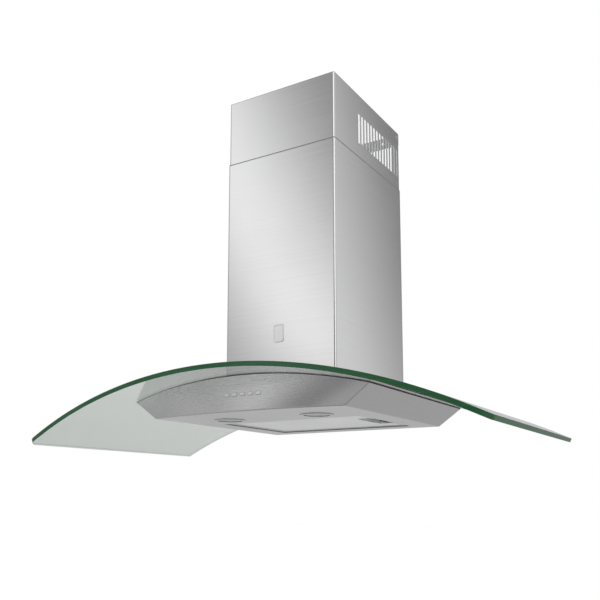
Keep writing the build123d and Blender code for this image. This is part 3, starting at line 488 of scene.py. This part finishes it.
glass = glass_sheet()
glass.data.materials.append(slot_materials["canopy_glass"])
glass.data.materials.append(glass_edge("glass_rim", (0.012, 0.062, 0.024), (0.026, 0.098, 0.042)))
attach(glass, "hood")
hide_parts("glass_canopy")

# ---------------------------------------------------------------- floor, light and camera

FLOOR_Z = -1.6  # the floor of the kitchen, well below the hood
FLOOR_HALF = 30.0
FLOOR_SHADE = 0.93
FLOOR_BOOST = 0.14  # what only diffuse rays see on top of the white world, so that the floor comes out white

# What the metal reflects, by direction: azimuth and elevation in degrees. Azimuth 0 is +X and 90 is +Y.
UP = (0, 90)
SOFTBOX = (-24, 26)
WALL_EDGE = (-22, -10)
SEEN_BY_CHIMNEY_FRONT = (-124, 20)
SEEN_BY_CHIMNEY_CORNER = (-42, 28)
SEEN_BY_CHIMNEY_SIDE = (64, 20)
SEEN_BY_BODY_FRONT = (-90, 4)
SEEN_BY_UNDERSIDE = (122, -8)
SOFTBOX_GAIN = 1.66
WALL_GAIN = 1.18
LAMP_LEVEL = 2.0
PANEL_LEVEL = 0.75
SHADE_LEVEL = 0.06


def floor():
    """Plain pale floor. Metal reflects the studio below instead of it."""
    data = bpy.data.meshes.new("floor")
    far, near = FLOOR_HALF, -FLOOR_HALF
    corners = [(x, y, FLOOR_Z) for x, y in ((near, near), (far, near), (far, far), (near, far))]
    data.from_pydata(corners, [], [(0, 1, 2, 3)])
    made = bpy.data.objects.new("floor", data)
    scene.collection.objects.link(made)
    pale = Shader("floor_paint", Roughness=0.9)
    pale.bsdf.inputs["Base Color"].default_value = (FLOOR_SHADE, FLOOR_SHADE, FLOOR_SHADE, 1)
    data.materials.append(pale.material)
    made.visible_glossy = False


def studio_world():
    """White behind the object. What the metal reflects is a soft studio: see reflected_studio."""
    world = bpy.data.worlds.new("studio")
    scene.world = world
    world.use_nodes = True
    tree = world.node_tree
    tree.nodes.clear()
    output = tree.nodes.new("ShaderNodeOutputWorld")
    seen = tree.nodes.new("ShaderNodeBackground")
    seen.inputs["Color"].default_value = (1, 1, 1, 1)
    around = tree.nodes.new("ShaderNodeBackground")
    tree.links.new(reflected_studio(tree), around.inputs["Strength"])
    path = tree.nodes.new("ShaderNodeLightPath")
    ambient = tree.nodes.new("ShaderNodeMath")
    ambient.operation = "MULTIPLY_ADD"
    ambient.inputs[1].default_value = FLOOR_BOOST
    ambient.inputs[2].default_value = 1.0
    tree.links.new(path.outputs["Is Diffuse Ray"], ambient.inputs[0])
    tree.links.new(ambient.outputs[0], seen.inputs["Strength"])
    mix = tree.nodes.new("ShaderNodeMixShader")
    tree.links.new(path.outputs["Is Glossy Ray"], mix.inputs[0])
    tree.links.new(seen.outputs[0], mix.inputs[1])
    tree.links.new(around.outputs[0], mix.inputs[2])
    tree.links.new(mix.outputs[0], output.inputs[0])


def reflected_studio(tree):
    """Brightness of the studio by direction. Under it all lies a pale surround with a dark band low down.
    Over it come a slanting softbox for the chimney's front, a shade below that for the body's front, a lit
    panel for the underside, a pale wall with an end for the chimney's side and a lamp for its corner."""
    coords = tree.nodes.new("ShaderNodeTexCoord").outputs["Generated"]

    def towards(direction):
        """Cosine of the angle from a direction."""
        turn, lift = (math.radians(angle) for angle in direction)
        made = tree.nodes.new("ShaderNodeVectorMath")
        made.operation = "DOT_PRODUCT"
        made.inputs[1].default_value = (
            math.cos(lift) * math.cos(turn),
            math.cos(lift) * math.sin(turn),
            math.sin(lift),
        )
        tree.links.new(coords, made.inputs[0])
        return made.outputs["Value"]

    def ramp(value, *stops):
        """A soft curve through (value, brightness) stops, brightness 0 to 1."""
        made = tree.nodes.new("ShaderNodeFloatCurve")
        curve = made.mapping.curves[0]
        spread = tree.nodes.new("ShaderNodeMapRange")
        spread.inputs["From Min"].default_value = -1.0
        tree.links.new(value, spread.inputs["Value"])
        tree.links.new(spread.outputs["Result"], made.inputs["Value"])
        curve.points[0].location = ((stops[0][0] + 1) / 2, stops[0][1])
        curve.points[1].location = ((stops[-1][0] + 1) / 2, stops[-1][1])
        for place, level in stops[1:-1]:
            curve.points.new((place + 1) / 2, level)
        for point in curve.points:
            point.handle_type = "VECTOR"
        made.mapping.update()
        return made.outputs["Value"]

    def inside(direction, full, none):
        """1 within the angle full of a direction, falling to 0 at the angle none."""
        full_cos, none_cos = math.cos(math.radians(full)), math.cos(math.radians(none))
        return ramp(towards(direction), (-1, 0), (none_cos, 0), (full_cos, 1), (1, 1))

    def mixed(weight, first, second):
        """The first where weight is 0 and the second where it is 1."""
        made = tree.nodes.new("ShaderNodeMix")
        for socket, value in (("Factor", weight), ("A", first), ("B", second)):
            if isinstance(value, float):
                made.inputs[socket].default_value = value
            else:
                tree.links.new(value, made.inputs[socket])
        return made.outputs["Result"]

    def scaled(value, factor):
        made = tree.nodes.new("ShaderNodeMath")
        made.operation = "MULTIPLY"
        tree.links.new(value, made.inputs[0])
        made.inputs[1].default_value = factor
        return made.outputs[0]

    height = towards(UP)
    surround = ramp(
        height,
        (-1, 0.60), (-0.97, 0.50), (-0.93, 0.10), (-0.88, 0.14), (-0.845, 0.58),
        (-0.1, 0.64), (0.2, 0.80), (1, 0.62),
    )
    slanting_box = ramp(
        towards(SOFTBOX),
        (-1, 0.25), (-0.14, 0.30), (-0.10, 0.50), (-0.05, 0.82), (-0.015, 1.0), (0.02, 0.92), (0.06, 0.72),
        (0.11, 0.42), (0.16, 0.24), (1, 0.20),
    )
    wall_end = ramp(
        towards(WALL_EDGE),
        (-1, 0.08), (-0.06, 0.17), (-0.01, 0.43), (0.035, 0.82), (0.07, 1.0), (1, 1.0),
    )
    above_sill = ramp(height, (-1, 0), (0.10, 0), (0.19, 1), (1, 1))
    below_sill = ramp(height, (-1, 1), (0.22, 1), (0.30, 0), (1, 0))
    front_light = mixed(above_sill, surround, scaled(slanting_box, SOFTBOX_GAIN))
    front_shade = mixed(below_sill, 0.0, inside(SEEN_BY_BODY_FRONT, full=14, none=23))
    level = mixed(inside(SEEN_BY_CHIMNEY_FRONT, full=18, none=28), surround, front_light)
    level = mixed(front_shade, level, SHADE_LEVEL)
    level = mixed(inside(SEEN_BY_UNDERSIDE, full=16, none=28), level, PANEL_LEVEL)
    level = mixed(inside(SEEN_BY_CHIMNEY_SIDE, full=16, none=24), level, scaled(wall_end, WALL_GAIN))
    return mixed(inside(SEEN_BY_CHIMNEY_CORNER, full=20, none=30), level, LAMP_LEVEL)


floor()
studio_world()

# The camera as it was solved from the corners of the glass, body and chimney.
LENS_MM = 45.716
SHIFT_UP = 0.1543
NEAR_CLIP = 0.01
CAMERA_X = 0.7489
CAMERA_Y = -1.4492
CAMERA_BELOW_GLASS = 0.1019
CAMERA_TILT = math.radians(98.0)
CAMERA_TURN = math.radians(31.32)

camera_data = bpy.data.cameras.new("camera")
camera_data.lens = LENS_MM
camera_data.shift_y = SHIFT_UP
camera_data.clip_start = NEAR_CLIP
camera = bpy.data.objects.new("camera", camera_data)
camera.location = (CAMERA_X, CAMERA_Y, tip_z - CAMERA_BELOW_GLASS)
camera.rotation_euler = (CAMERA_TILT, 0, CAMERA_TURN)
scene.collection.objects.link(camera)
scene.camera = camera
scene.view_settings.view_transform = "Standard"
